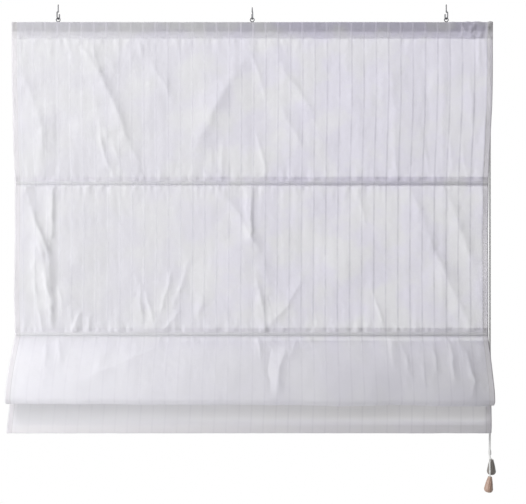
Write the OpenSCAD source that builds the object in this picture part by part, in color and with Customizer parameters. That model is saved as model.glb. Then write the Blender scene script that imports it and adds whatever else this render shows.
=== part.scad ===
// Roman blind of thin striped cloth, hung from three ceiling screw hooks.
// The lowest panel is drawn up once, so it hangs as a forward fold over the bottom panel.
// Origin: axis of the middle hook at the ceiling. +Z is up, and the front faces -Y.

/* [Cloth] */
// Width of the cloth from edge to edge
cloth_w = 1400; // [1000:10:1800]
// Thickness of the cloth
cloth_t = 0.8; // [0.5:0.1:1.2]
// Drop from the top edge of the cloth to the first rod
first_drop = 469; // [350:1:600]
// Drop from the first rod to the second
second_drop = 441; // [350:1:600]
// Drop from the second rod to the third, which is drawn up under it
third_drop = 20; // [18:1:30]
// Drop from the third rod to the bottom edge
bottom_drop = 265; // [250:1:400]
// Drop from the second rod to the bottom of the forward fold
fold_drop = 200; // [160:1:220]
// Reach of the fold in front of the flat panels
fold_reach = 54; // [50:1:80]
// Width of the fold from front to back, near its bottom
fold_d = 44; // [30:1:46]
// Distance that the hem stands in front of the flat panels
hem_lean = 18; // [6:1:20]
// Distance that the bottom panel hangs off centre, to the right
hem_shift = -7; // [-12:1:12]

/* [Header] */
// Height of the batten
batten_h = 28; // [22:1:40]
// Depth of the batten from front to back
batten_d = 20; // [16:1:26]
// Distance from the edge of the cloth to the end of the batten
batten_inset = 0.5; // [0:0.5:3]
// Drop of the double cloth under the batten, down to the header seam
header_skirt = 17; // [10:1:30]

/* [Rods and bar] */
// Diameter of the rods in their pockets
rod_d = 6; // [4:0.5:8]
// Distance from the edge of the cloth to the end of a rod
rod_inset = 14; // [6:1:40]
// Distance that the rod pockets stand in front of the panels
pocket_front = 1.8; // [1:0.1:2.4]
// Height of the flat bar in the hem
bar_h = 26; // [18:1:40]
// Thickness of the flat bar
bar_d = 6; // [3:0.5:8]
// Distance from the edge of the cloth to the end of the bar
bar_inset = 10; // [6:1:40]

/* [Hooks] */
// Distance from the edge of the cloth to the outer hooks and cord columns
hook_inset = 133; // [80:1:250]
// Diameter of the hook wire
hook_wire_d = 4; // [3.8:0.1:4.6]
// Inner diameter of the hook bend
hook_bend_d = 10; // [9:0.5:14]
// Straight length of the hook above its bend
hook_leg_l = 8.8; // [6:0.1:14]
// Straight length of the open lip
hook_lip_l = 8; // [3:0.1:9]
// Diameter of the hook screws
hook_screw_d = 3.4; // [3:0.1:3.6]
// Length of the screw on the outer hooks
outer_screw_l = 20.5; // [14:0.5:30]
// Length of the screw on the middle hook
middle_screw_l = 12; // [10:0.5:30]

/* [Eyes] */
// Wire diameter of the hanging eyes on top of the batten
eye_wire_d = 2.8; // [2.2:0.1:3.4]
// Outer diameter of the hanging eyes
eye_ring_d = 14; // [12:0.5:18]
// Bare neck under a hanging eye
eye_neck_l = 2; // [1:0.5:5]
// Length of a hanging eye's screw in the batten
eye_screw_l = 18; // [10:0.5:20]
// Wire diameter of the cord eyes behind the batten
cord_eye_wire_d = 2.2; // [1.8:0.1:2.4]
// Outer diameter of the cord eyes
cord_eye_ring_d = 14; // [13:0.5:16]
// Bare neck of a cord eye
cord_eye_neck_l = 2; // [1:0.5:4]
// Length of a cord eye's screw in the batten
cord_eye_screw_l = 7; // [5:0.5:7]
// Distance from the edge of the cloth to the outlet eye
outlet_inset = 4; // [3.5:0.5:10]

/* [Rings] */
// Outer diameter of the cord rings
ring_d = 13; // [12:0.5:16]
// Wire diameter of the cord rings
ring_wire_d = 2; // [1.5:0.1:2.2]
// Diameter of the knots that tie the cords to the lowest rings
tie_knot_d = 4.8; // [4:0.1:6]

/* [Cords and pulls] */
// Diameter of the cords
cord_d = 2; // [1.4:0.1:2.2]
// Diameter of the knot that gathers the cords
knot_d = 9; // [8.5:0.1:11]
// Height of that knot
knot_h = 16; // [12:0.5:16]
// Height of a pull
pull_h = 46; // [36:1:46]
// Largest diameter of a pull
pull_d = 26; // [20:1:27]
// Diameter of a pull at its top
pull_top_d = 12; // [9:0.5:12]
// Diameter of the cord hole in a pull
pull_bore_d = 4.8; // [4.6:0.1:5.4]
// Length of the cord hole, down to the hollow for the stop knot
pull_neck_l = 10; // [8:0.5:14]
// Diameter of the hollow for the stop knot
pull_hollow_d = 8; // [7:0.1:8.5]

/* [Hidden] */
$fn = 48;

// Clearances
overrun = 1;
link_gap = 0.2;
sleeve_gap = 0.2;
screw_gap = 0.1;
cloth_hole_gap = 0.3;
pocket_gap = 0.4;
ring_gap = 0.3;
ply_gap = 0.3;
tie_gap = 0.2;

// Hooks and hanging eyes
hook_neck_l = 1;
hook_turns_deg = [-15, 8, 18];
screw_tip_l = 4;
screw_tip_r_share = 0.25;
bend_r = (hook_bend_d + hook_wire_d) / 2;
sweep_r = bend_r / 2;
bend_z = -(hook_neck_l + 2 * sweep_r + hook_leg_l);
hook_seat_z = bend_z - hook_bend_d / 2;
eye_r = (eye_ring_d - eye_wire_d) / 2;
eye_z = hook_seat_z + link_gap + eye_wire_d - eye_ring_d / 2;
outer_x = cloth_w / 2 - hook_inset;
columns = [-outer_x, 0, outer_x];
screw_lengths = [outer_screw_l, middle_screw_l, outer_screw_l];

// Header
cloth_top_z = eye_z - eye_ring_d / 2 - eye_neck_l;
batten_top_z = cloth_top_z - cloth_t - sleeve_gap;
batten_z = batten_top_z - batten_h / 2;
batten_l = cloth_w - 2 * batten_inset;
sleeve_y = batten_d / 2 + sleeve_gap + cloth_t / 2;
sleeve_top_z = cloth_top_z - cloth_t / 2;
sleeve_bottom_z = batten_top_z - batten_h - sleeve_gap - cloth_t / 2;
header_seam_z = sleeve_bottom_z - header_skirt;

// Cord eyes, set beside their columns so that the cords turn inside the rings
cord_eye_shift = 1.2;
cord_eye_r = (cord_eye_ring_d - cord_eye_wire_d) / 2;
cord_eye_y = sleeve_y + cloth_t / 2 + cord_eye_neck_l + cord_eye_ring_d / 2;
cord_eye_turn_deg = 45;
outlet_x = cloth_w / 2 - outlet_inset;

// Rods, pockets and rings
rod_zs = [
    cloth_top_z - first_drop,
    cloth_top_z - first_drop - second_drop,
    cloth_top_z - first_drop - second_drop - third_drop
];
rod_l = cloth_w - 2 * rod_inset;
pocket_r = rod_d / 2 + pocket_gap + cloth_t;
panel_y = pocket_front + cloth_t / 2 - pocket_r;
pocket_seam_l = 2;
ring_r = (ring_d - ring_wire_d) / 2;
ring_y = pocket_r + ring_gap + ring_d / 2;
tie_knot_h = 5;
tie_knot_flat_share = 0.55;
tie_knot_z = rod_zs[2] + ring_wire_d / 2 + tie_gap;

// Fold and bottom panel
fold_top_z = rod_zs[1] - pocket_r - pocket_seam_l;
fold_front_y = panel_y - fold_reach;
fold_r = fold_d / 2;
fold_turn_z = rod_zs[1] - fold_drop + fold_r;
fold_arm_share = 1 / 3;
fold_lead = 20;
fold_steps = 14;
fold_back_y = -pocket_r - ply_gap - cloth_t / 2;
fold_back_top_z = rod_zs[2];
hem_y = panel_y - hem_lean;
hem_gap = sleeve_gap;
bottom_z = rod_zs[2] - bottom_drop;
hem_h = bar_h + 2 * (hem_gap + cloth_t);
hem_d = bar_d + 2 * (hem_gap + cloth_t);
hem_z = bottom_z + hem_h / 2;
bar_l = cloth_w - 2 * bar_inset;
panel_bend_z = fold_turn_z + fold_r;

// Cord routes, with the points chosen by hand
run_z = -48.5;
cord_sides = 8;
run_ys = [17.7, 20, 22.3];
turn_xs = [689.7, 692, 694.3];
function lift_route(x, y) = [
    [x, 16.5, -958.5], [x, 16.5, -955], [x, 13.8, -948], [x, 13.8, -500],
    [x, 13.8, -110], [x, y, -64], [x, y, -56.5], [x + 1.1, y, -52.5],
    [x + 4, y, -49.6], [x + 8, y, run_z], [x + 12, y, run_z], [688, y, run_z]
];
function pull_route(a, y, end_x) = [
    [688, y, run_z], [a, y, run_z], [a + 4, y, -49.6], [a + 6.9, y, -52.5],
    [a + 8, y, -56.5], [a + 8, y, -700], [a + 8, y, -1180], [end_x, 22, -1280], [end_x, 22, -1288]
];
knot_at = [700, 22, -1288];
knot_xs = [697.7, 700, 702.3];
lower_pull_at = [700.5, 20.5, -1366];
lower_pull_turn_deg = [0, 7, 0];
upper_pull_at = [707.5, 31.5, -1318];
upper_pull_turn_deg = [7, -2, 0];
strand_routes = [
    [[697.8, 20.8, -1304], [697.8, 20.8, -1308], [698.2, 20.5, -1335], [699.3, 20.5, -1360],
     [699.4, 20.5, -1366], [698.2, 20.5, -1375.8]],
    [[700.2, 19.8, -1304], [700.2, 19.8, -1308], [700.6, 20, -1335], [701.5, 20.5, -1360],
     [701.6, 20.5, -1366.2], [700.4, 20.5, -1376]],
    [[701.4, 24.2, -1304], [701.4, 24.2, -1306], [704.5, 27.8, -1312], [707.5, 31.5, -1318],
     [707.8, 32.7, -1327.9]]
];

// Knots and pulls
knot_flat_share = 0.82;
pull_crown_h = 10;
pull_foot_share = 0.45;
pull_rim = 1.2;
pull_swell_share = 0.08;
pull_steps = 8;
stop_knot_gap = 0.5;
stop_knot_d = pull_hollow_d - 2 * stop_knot_gap;
stop_knot_h = 6;
stop_knot_flat_share = 0.8;

side_names = ["left", "middle", "right"];
cord_eye_names = ["cord_eye_left", "cord_eye_middle", "cord_eye_right", "cord_outlet"];
rod_numbers = [1, 2, 3];

function unit(v) = v / norm(v);

// Normal of the line from a to b in the side view
function line_normal(a, b) = let (t = unit(b - a)) [-t[1], t[0]];

// Mitred offset direction at point i of path p
function mitre(p, i) =
    let (
        last = len(p) - 1,
        before = line_normal(p[max(i - 1, 0)], p[max(i, 1)]),
        after = line_normal(p[min(i, last - 1)], p[min(i + 1, last)]),
        n = unit(before + after)
    )
    n / (n * before);

// Outline of a strip of the cloth's thickness along path p
function strip(p) = concat(
    [for (i = [0 : len(p) - 1]) p[i] + mitre(p, i) * cloth_t / 2],
    [for (i = [len(p) - 1 : -1 : 0]) p[i] - mitre(p, i) * cloth_t / 2]
);

// Cubic curve from a to d with control points b and c
function cubic(a, b, c, d, t) =
    pow(1 - t, 3) * a + 3 * pow(1 - t, 2) * t * b + 3 * (1 - t) * t * t * c + pow(t, 3) * d;

// Path of the fold: down and forward from the second rod, round its bottom, and up behind
function fold_path() =
    let (
        top = [panel_y, fold_top_z - cloth_t],
        front = [fold_front_y, fold_turn_z],
        arm = [0, (fold_top_z - fold_turn_z) * fold_arm_share],
        lead = [fold_lead, 0]
    )
    concat(
        [[panel_y, fold_top_z]],
        [for (i = [0 : fold_steps]) cubic(top, top - arm - lead, front + arm, front, i / fold_steps)],
        [for (i = [1 : fold_steps])
            [fold_front_y + fold_r - fold_r * cos(180 * i / fold_steps),
             fold_turn_z - fold_r * sin(180 * i / fold_steps)]],
        [[fold_back_y, fold_back_top_z]]
    );

// Side view drawn in Y and Z, carried across the blind
module across(width) {
    translate([-width / 2, 0, 0]) rotate([90, 0, 90]) linear_extrude(width) children();
}

// Round bar across the blind at height z, on the rods' plane
module round_bar(r, z, length) {
    translate([-length / 2, 0, z]) rotate([0, 90, 0]) cylinder(r = r, h = length);
}

// Round-edged flat section
module stadium(d, h) {
    square([d, h - d], center = true);
    for (s = [-1, 1]) translate([0, s * (h - d) / 2]) circle(d = d);
}

// Tube of a cord along a route
module cord(route) {
    last = len(route) - 1;
    points = [
        for (i = [0 : last])
            let (
                t = unit(route[min(i + 1, last)] - route[max(i - 1, 0)]),
                u = unit(cross(t, [0, 1, 0])),
                v = cross(u, t)
            )
            for (k = [0 : cord_sides - 1])
                let (a = 360 * k / cord_sides)
                route[i] + (u * cos(a) + v * sin(a)) * cord_d / 2
    ];
    walls = [
        for (i = [0 : last - 1], k = [0 : cord_sides - 1])
            let (m = (k + 1) % cord_sides, a = i * cord_sides, b = a + cord_sides)
            each [[a + k, b + k, b + m], [a + k, b + m, a + m]]
    ];
    start = [[for (k = [0 : cord_sides - 1]) k]];
    end = [[for (k = [cord_sides - 1 : -1 : 0]) last * cord_sides + k]];
    polyhedron(points, concat(walls, start, end));
}

// Wire ring lying flat about the Z axis
module wire_ring(r, wire_d) {
    rotate_extrude() translate([r, 0]) circle(d = wire_d);
}

// Bend of the hook wire: centreline radius r, swept by an angle in the XY plane
module wire_bend(r, angle) {
    rotate_extrude(angle = angle) translate([r, 0]) circle(d = hook_wire_d);
}

// Pointed screw standing on the XY plane
module screw(d, length) {
    cylinder(d = d, h = length - screw_tip_l);
    translate([0, 0, length - screw_tip_l])
        cylinder(r1 = d / 2, r2 = d * screw_tip_r_share / 2, h = screw_tip_l);
}

// Ceiling hook in the XZ plane: screw, neck, two quarter bends, leg, half bend and open lip
module hook_form(screw_l) {
    screw(hook_screw_d, screw_l);
    translate([0, 0, -hook_neck_l]) cylinder(d = hook_wire_d, h = hook_neck_l);
    translate([-sweep_r, 0, -hook_neck_l]) rotate([90, 0, 0]) rotate([0, 0, -90]) wire_bend(sweep_r, 90);
    translate([-sweep_r, 0, -hook_neck_l - 2 * sweep_r])
        rotate([90, 0, 0]) rotate([0, 0, 90]) wire_bend(sweep_r, 90);
    translate([-bend_r, 0, bend_z]) cylinder(d = hook_wire_d, h = hook_leg_l);
    translate([0, 0, bend_z]) rotate([90, 0, 0]) rotate([0, 0, 180]) wire_bend(bend_r, 180);
    translate([bend_r, 0, bend_z]) cylinder(d = hook_wire_d, h = hook_lip_l);
    translate([bend_r, 0, bend_z + hook_lip_l]) sphere(d = hook_wire_d);
}

// Screw eye with its ring in the XZ plane and its screw along -Z
module screw_eye(r, wire_d, neck_l, screw_l) {
    rotate([90, 0, 0]) wire_ring(r, wire_d);
    translate([0, 0, -r]) rotate([180, 0, 0]) screw(wire_d, wire_d / 2 + neck_l + screw_l);
}

// Bead with flat ends of a knot, from z = 0 down to -h
module bead(d, h, flat_share) {
    flat_r = d * flat_share / 2;
    rotate_extrude() polygon(concat(
        [[0, 0]],
        [for (i = [0 : pull_steps])
            let (a = 180 * i / pull_steps)
            [flat_r + (d / 2 - flat_r) * sin(a), -h * (1 - cos(a)) / 2]],
        [[0, -h]]
    ));
}

// Turned pull hanging from its top centre, with a cord hole over a hollow that is open below
module pull_form() {
    top_r = pull_top_d / 2;
    max_r = pull_d / 2;
    foot_r = max_r * pull_foot_share;
    bore_r = pull_bore_d / 2;
    flank_h = pull_h - pull_crown_h - pull_rim;
    rotate_extrude() polygon(concat(
        [[bore_r, 0], [top_r - pull_rim, 0]],
        [for (i = [1 : pull_steps])
            let (a = 90 * i / pull_steps)
            [top_r - pull_rim + pull_rim * sin(a), -pull_rim * (1 - cos(a))]],
        [for (i = [1 : pull_steps])
            let (s = i / pull_steps)
            [top_r + (max_r - top_r) * (s + pull_swell_share * sin(180 * s)), -pull_rim - flank_h * s]],
        [for (i = [1 : pull_steps])
            let (a = 90 * i / pull_steps)
            [foot_r + (max_r - foot_r) * cos(a), -pull_h + pull_crown_h * (1 - sin(a))]],
        [[pull_hollow_d / 2, -pull_h], [pull_hollow_d / 2, -pull_neck_l], [bore_r, -pull_neck_l]]
    ));
}

// Knot that holds a pull, under the cord hole in its hollow
module stop_knot_form() {
    translate([0, 0, -pull_neck_l - tie_gap]) bead(stop_knot_d, stop_knot_h, stop_knot_flat_share);
}

// Places of the two pulls
module at_lower_pull() {
    translate(lower_pull_at) rotate(lower_pull_turn_deg) children();
}

module at_upper_pull() {
    translate(upper_pull_at) rotate(upper_pull_turn_deg) children();
}

// Place of a cord eye behind the batten, with the ring turned to face the cords' bend
module at_cord_eye(i) {
    x = i < len(columns) ? columns[i] + cord_eye_shift : outlet_x;
    turn = i < len(columns) ? -cord_eye_turn_deg : cord_eye_turn_deg;
    translate([x, cord_eye_y, batten_z]) rotate([-90, 0, 0]) rotate([0, 0, turn + 90]) children();
}

module top_batten() color("dimgray") difference() {
    translate([-batten_l / 2, -batten_d / 2, batten_top_z - batten_h]) cube([batten_l, batten_d, batten_h]);
    for (x = columns)
        translate([x, 0, batten_top_z - eye_screw_l - screw_gap])
            cylinder(d = eye_wire_d + 2 * screw_gap, h = eye_screw_l + screw_gap + overrun);
    for (i = [0 : len(columns)])
        at_cord_eye(i) translate([0, 0, -cord_eye_screw_l - cord_eye_y + batten_d / 2 - screw_gap])
            cylinder(d = cord_eye_wire_d + 2 * screw_gap, h = cord_eye_screw_l + screw_gap + overrun);
}

module cloth_upper() color("white") difference() {
    union() {
        across(cloth_w) polygon(strip([
            [-sleeve_y, sleeve_top_z - cloth_t / 2], [-sleeve_y, header_seam_z],
            [panel_y, rod_zs[0] + pocket_r + pocket_seam_l], [panel_y, fold_top_z]
        ]));
        across(cloth_w) polygon(strip([
            [-sleeve_y - cloth_t / 2, sleeve_top_z], [sleeve_y, sleeve_top_z],
            [sleeve_y, sleeve_bottom_z], [-sleeve_y, header_seam_z]
        ]));
        for (i = [0, 1]) round_bar(pocket_r, rod_zs[i], cloth_w);
    }
    for (i = [0, 1]) round_bar(pocket_r - cloth_t, rod_zs[i], cloth_w + 2 * overrun);
    for (x = columns)
        translate([x, 0, cloth_top_z - cloth_t - sleeve_gap])
            cylinder(d = eye_wire_d + 2 * cloth_hole_gap, h = cloth_t + sleeve_gap + overrun);
    for (i = [0 : len(columns)])
        at_cord_eye(i) translate([0, 0, batten_d / 2 - cord_eye_y])
            cylinder(d = cord_eye_wire_d + 2 * cloth_hole_gap, h = cloth_t + sleeve_gap + overrun);
}

module cloth_fold() color("white") across(cloth_w) polygon(strip(fold_path()));

module cloth_lower() color("white") translate([hem_shift, 0, 0]) difference() {
    union() {
        across(cloth_w) polygon(strip([
            [panel_y, rod_zs[2]], [panel_y, panel_bend_z],
            [hem_y, hem_z + hem_h / 2], [hem_y, hem_z + hem_h / 2 - cloth_t]
        ]));
        round_bar(pocket_r, rod_zs[2], cloth_w);
        across(cloth_w) translate([hem_y, hem_z]) stadium(hem_d, hem_h);
    }
    round_bar(pocket_r - cloth_t, rod_zs[2], cloth_w + 2 * overrun);
    across(cloth_w + 2 * overrun)
        translate([hem_y, hem_z]) stadium(hem_d - 2 * cloth_t, hem_h - 2 * cloth_t);
}

module bottom_bar() color("whitesmoke") translate([hem_shift, 0, 0])
    across(bar_l) translate([hem_y, hem_z]) stadium(bar_d, bar_h);

module hook(i) color("gray")
    translate([columns[i], 0, 0]) rotate([0, 0, 90 + hook_turns_deg[i]]) hook_form(screw_lengths[i]);

module hanging_eye(i) color("gray")
    translate([columns[i], 0, eye_z])
        screw_eye(eye_r, eye_wire_d, eye_neck_l + cloth_t + sleeve_gap, eye_screw_l);

module cord_eye(i) color("silver")
    at_cord_eye(i)
        screw_eye(cord_eye_r, cord_eye_wire_d, cord_eye_neck_l + cloth_t + sleeve_gap, cord_eye_screw_l);

module rod(i) color("lightgray") round_bar(rod_d / 2, rod_zs[i], rod_l);

module ring(i, k) color("whitesmoke")
    translate([columns[k], ring_y, rod_zs[i]]) wire_ring(ring_r, ring_wire_d);

module tie_knot(k) color("ivory")
    translate([columns[k], ring_y + ring_r, tie_knot_z + tie_knot_h])
        bead(tie_knot_d, tie_knot_h, tie_knot_flat_share);

module lift_cord(k) color("ivory") cord(lift_route(columns[k], run_ys[k]));

module pull_cord(k) color("ivory") cord(pull_route(turn_xs[k], run_ys[k], knot_xs[k]));

module cord_knot() color("ivory") translate(knot_at) bead(knot_d, knot_h, knot_flat_share);

module strand(k) color("ivory") cord(strand_routes[k]);

module lower_pull() color("peru") at_lower_pull() pull_form();

module upper_pull() color("peru") at_upper_pull() pull_form();

module lower_stop_knot() color("ivory") at_lower_pull() stop_knot_form();

module upper_stop_knot() color("ivory") at_upper_pull() stop_knot_form();

top_batten();
cloth_upper();
cloth_fold();
cloth_lower();
bottom_bar();
for (i = [0 : len(columns)]) cord_eye(i);
for (i = [0 : len(rod_zs) - 1]) {
    rod(i);
    for (k = [0 : len(columns) - 1])
        ring(i, k);
}
for (k = [0 : len(columns) - 1]) {
    hook(k);
    hanging_eye(k);
    tie_knot(k);
    lift_cord(k);
    pull_cord(k);
    strand(k);
}
cord_knot();
lower_pull();
upper_pull();
lower_stop_knot();
upper_stop_knot();
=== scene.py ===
import math

import bpy
import numpy as np
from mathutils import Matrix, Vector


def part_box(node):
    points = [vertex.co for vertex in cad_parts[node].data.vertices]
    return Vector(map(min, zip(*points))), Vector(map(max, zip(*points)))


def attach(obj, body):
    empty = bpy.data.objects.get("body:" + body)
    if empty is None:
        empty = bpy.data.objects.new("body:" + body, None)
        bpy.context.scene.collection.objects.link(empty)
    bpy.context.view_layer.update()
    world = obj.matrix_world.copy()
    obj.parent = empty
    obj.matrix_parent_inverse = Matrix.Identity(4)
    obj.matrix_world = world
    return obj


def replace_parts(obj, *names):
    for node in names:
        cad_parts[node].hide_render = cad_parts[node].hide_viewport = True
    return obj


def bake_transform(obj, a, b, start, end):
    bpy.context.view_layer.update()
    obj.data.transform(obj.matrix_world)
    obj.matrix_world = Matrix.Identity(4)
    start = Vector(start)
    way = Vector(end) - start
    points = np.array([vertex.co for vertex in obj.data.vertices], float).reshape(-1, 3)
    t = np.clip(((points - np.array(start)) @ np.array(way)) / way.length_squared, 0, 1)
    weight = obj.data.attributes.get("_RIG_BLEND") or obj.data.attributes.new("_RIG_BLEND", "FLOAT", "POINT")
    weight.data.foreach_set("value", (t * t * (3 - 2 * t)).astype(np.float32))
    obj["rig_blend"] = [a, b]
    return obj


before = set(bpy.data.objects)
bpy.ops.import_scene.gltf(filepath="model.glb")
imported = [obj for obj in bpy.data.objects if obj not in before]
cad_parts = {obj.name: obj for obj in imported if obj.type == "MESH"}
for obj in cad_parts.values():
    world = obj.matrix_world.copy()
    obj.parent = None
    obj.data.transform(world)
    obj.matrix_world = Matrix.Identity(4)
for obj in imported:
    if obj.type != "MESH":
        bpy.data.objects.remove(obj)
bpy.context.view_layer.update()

scene = bpy.context.scene
MM = 0.001
WAYS = ("left", "middle", "right")

# Camera

PHOTO_W, PHOTO_H = 526, 504
FOCAL_PIXELS = 821.3
EYE = (0.0314, -2.4, -0.7042)


def seen_at(px, py, y=0.0):
    """Point (x, z) at depth y on the ray through a picture point: the offset from the picture's middle,
    times the depth's distance from the camera, over the focal length in pixels."""
    far = (y - EYE[1]) / FOCAL_PIXELS
    return EYE[0] + (px - PHOTO_W / 2) * far, EYE[2] + (PHOTO_H / 2 - py) * far


def place_camera():
    """Level camera that looks along +Y, with the lens that gives the focal length in pixels on a 36 mm
    sensor."""
    data = bpy.data.cameras.new("room_camera")
    data.sensor_width = 36
    data.lens = 36 * FOCAL_PIXELS / PHOTO_W
    data.clip_start, data.clip_end = 0.01, 50
    camera = bpy.data.objects.new("room_camera", data)
    camera.location = EYE
    camera.rotation_euler = (math.pi / 2, 0, 0)
    scene.collection.objects.link(camera)
    scene.camera = camera


place_camera()

# Shader writing


def tint(r, g, b):
    """Display colour as linear light with full alpha: the usual display curve of each channel."""
    return tuple(c / 12.92 if c < 0.04045 else ((c + 0.055) / 1.055) ** 2.4 for c in (r, g, b)) + (1.0,)


def math_node(operation, turned=False):
    """A method that adds one Math node for its value and another, or the other way round if turned."""
    def method(self, *others):
        terms = (self,) + others
        inputs = dict(enumerate(terms[::-1] if turned else terms))
        return self.finish.add("ShaderNodeMath", {"operation": operation}, inputs)
    return method


class Value:
    """A shader socket that takes part in sums as a number does: each operator adds one Math node."""

    def __init__(self, finish, socket):
        self.finish, self.socket = finish, socket

    __add__ = __radd__ = math_node("ADD")
    __sub__ = math_node("SUBTRACT")
    __rsub__ = math_node("SUBTRACT", True)
    __mul__ = math_node("MULTIPLY")
    __truediv__ = math_node("DIVIDE")
    __pow__ = math_node("POWER")
    __abs__ = math_node("ABSOLUTE")
    part = math_node("FRACT")
    sine = math_node("SINE")
    larger = math_node("MAXIMUM")

    def clamped(self):
        """The same, held between 0 and 1."""
        return self.finish.add("ShaderNodeMath", {"operation": "ADD", "use_clamp": True}, {0: self, 1: 0.0})

    def ease(self, low, high):
        """0 below low, 1 above high, and a smooth step between them."""
        inputs = {"Value": self, "From Min": low, "From Max": high, "To Min": 0.0, "To Max": 1.0}
        return self.finish.add("ShaderNodeMapRange", {"interpolation_type": "SMOOTHSTEP"}, inputs)


class Finish:
    """A new material or world: add() makes any node, sets its settings, then its sockets."""

    def __init__(self, name, store=bpy.data.materials):
        self.owner = store.new(name)
        self.owner.use_nodes = True
        self.tree = self.owner.node_tree
        self.tree.nodes.clear()

    def add(self, kind, settings=None, inputs=None, out=0):
        node = self.tree.nodes.new(kind)
        for name, value in (settings or {}).items():
            setattr(node, name, value)
        for name, value in (inputs or {}).items():
            if isinstance(value, Value):
                self.tree.links.new(value.socket, node.inputs[name])
            else:
                node.inputs[name].default_value = value
        return Value(self, node.outputs[out])

    def axes(self, vector):
        """The three numbers of a vector socket."""
        node = self.add("ShaderNodeSeparateXYZ", None, {0: vector}).socket.node
        return [Value(self, socket) for socket in node.outputs]

    def place(self):
        """The point's own coordinates."""
        return self.axes(self.add("ShaderNodeTexCoord", None, None, "Object"))

    def map(self, name):
        """The coordinates of a named map."""
        return self.axes(self.add("ShaderNodeUVMap", {"uv_map": name}))

    def noise(self, x, y, z, detail, scale=1.0):
        """Noise of 0 to 1 at the point (x, y, z) times the scale."""
        point = self.add("ShaderNodeCombineXYZ", None, {0: x, 1: y, 2: z})
        inputs = {"Vector": point, "Scale": scale, "Detail": detail, "Roughness": 0.5}
        return self.add("ShaderNodeTexNoise", None, inputs, "Fac")

    def mix(self, share, first, second):
        """Colour between two: share 0 gives the first."""
        return self.add("ShaderNodeMix", {"data_type": "RGBA"}, {0: share, 6: first, 7: second}, 2)

    def blend(self, share, first, second):
        """Shader between two: share 0 gives the first."""
        return self.add("ShaderNodeMixShader", None, {0: share, 1: first, 2: second})

    def coat(self, tone, rough, bump, more=None):
        """Plain surface of a colour and a roughness, with a bump of (height, strength, distance)."""
        normal = self.add("ShaderNodeBump", None, dict(zip(("Height", "Strength", "Distance"), bump)))
        inputs = {"Base Color": tone, "Roughness": rough, "Normal": normal}
        return self.add("ShaderNodeBsdfPrincipled", None, {**inputs, **(more or {})})

    def done(self, shader, kind="Material"):
        """The material or world, with this shader as its surface."""
        out = self.tree.nodes.new("ShaderNodeOutput" + kind)
        self.tree.links.new(shader.socket, out.inputs["Surface"])
        return self.owner


# Finishes

STRIPE_STEP = 0.0357
STRIPE_SHIFT = 0.0042
HALF = 0.7
SIDE_HEM = 0.016
PANEL_WAY, FOLD_WAY, BOTTOM_WAY, POCKET_SHADE_WAY = 0.55, 0.95, 1.36, 3


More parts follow.
